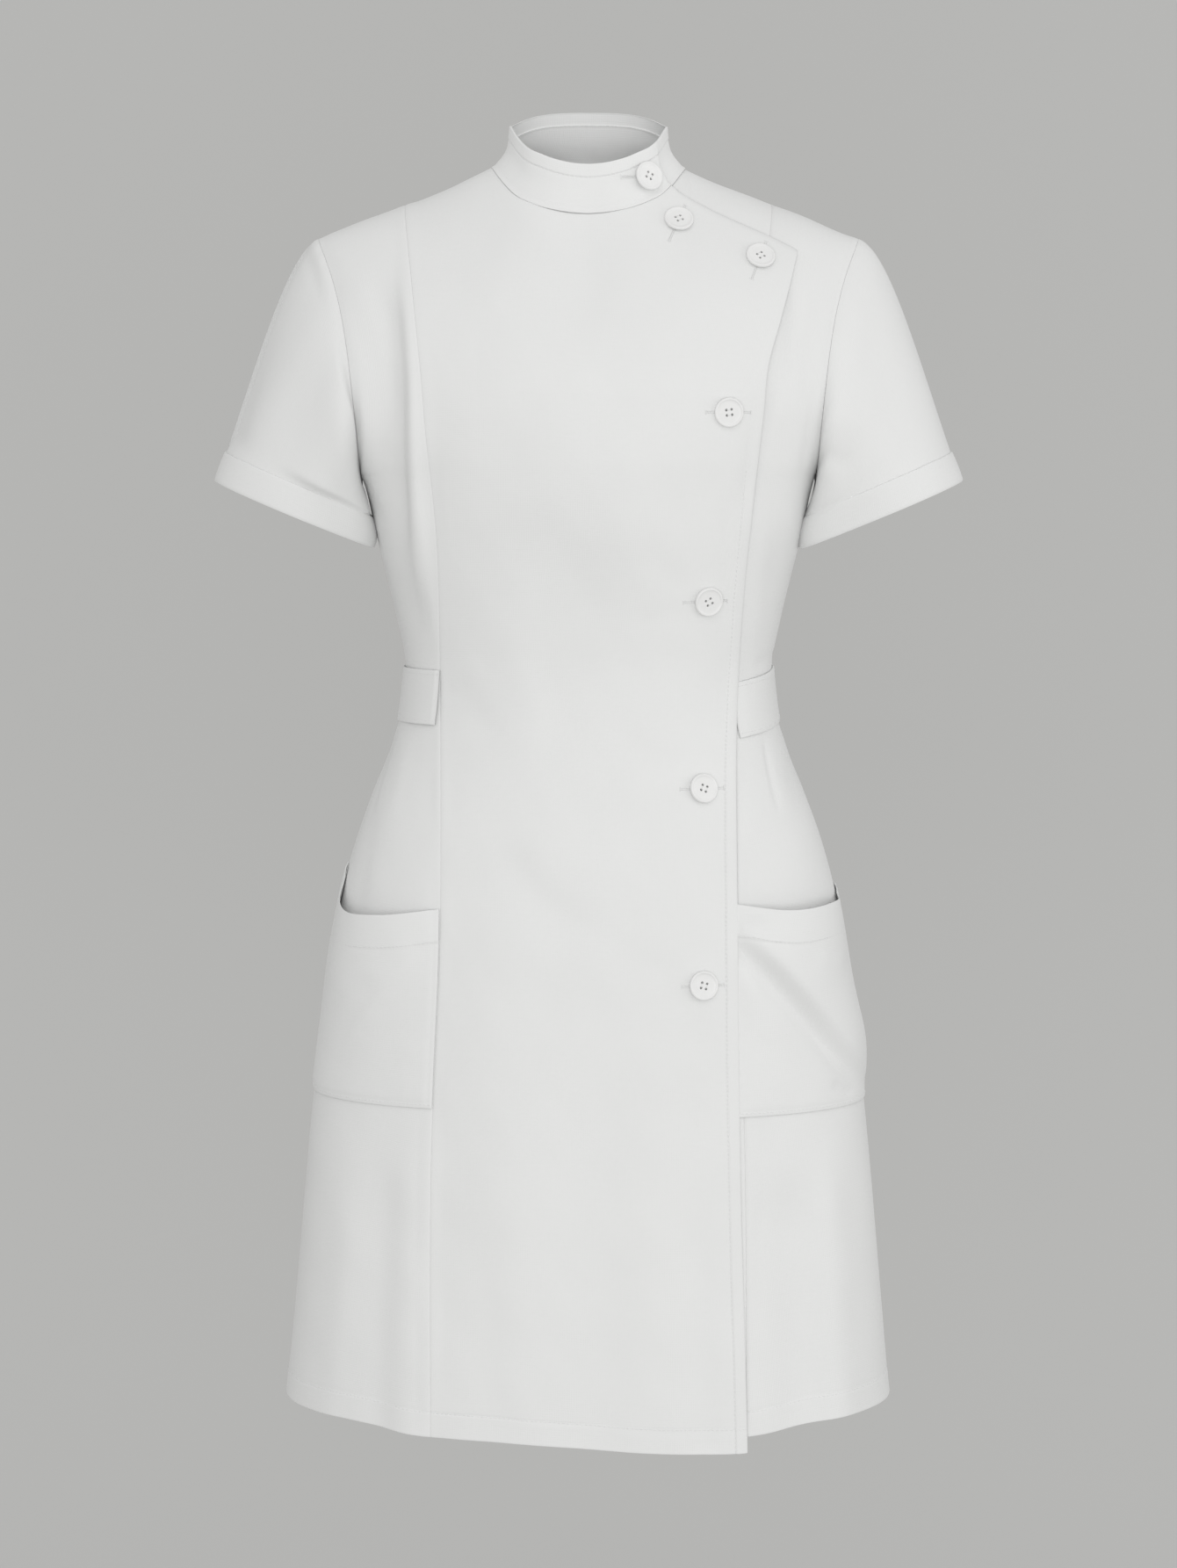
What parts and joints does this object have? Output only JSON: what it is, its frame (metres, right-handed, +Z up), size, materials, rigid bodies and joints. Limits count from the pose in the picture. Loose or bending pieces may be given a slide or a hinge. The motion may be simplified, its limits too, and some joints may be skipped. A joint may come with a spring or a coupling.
{
  "type": "nurse uniform dress",
  "caption": "Short-sleeved uniform dress with stand collar, asymmetric buttoned overlap, half belt and patch pockets, filled out as worn.",
  "frame": {"origin": "centre of the neck opening, on the line between the two neck points, where the wearer's neck holds the dress", "axes": "+Z up, the front of the dress faces -Y, +X is the wearer's left"},
  "size_m": [0.5394, 0.2833, 0.9449],
  "materials": {
    "white_poplin": "fine plain-weave polyester cotton, pressed, soft sheen",
    "white_button": "moulded, four holes, lightly polished rim"
  },
  "bodies": {
    "root": {"front_overlap": "white_poplin", "front_underlap": "white_poplin", "front_side_left": "white_poplin", "front_side_right": "white_poplin", "back": "white_poplin", "sleeve_left": "white_poplin", "sleeve_right": "white_poplin", "cuff_left": "white_poplin", "cuff_right": "white_poplin", "collar": "white_poplin", "waist_belt": "white_poplin", "pocket_left": "white_poplin", "pocket_right": "white_poplin", "button_1": "white_button", "button_2": "white_button", "button_3": "white_button", "button_4": "white_button", "button_5": "white_button", "button_6": "white_button", "button_7": "white_button"}
  },
  "joints": []
}
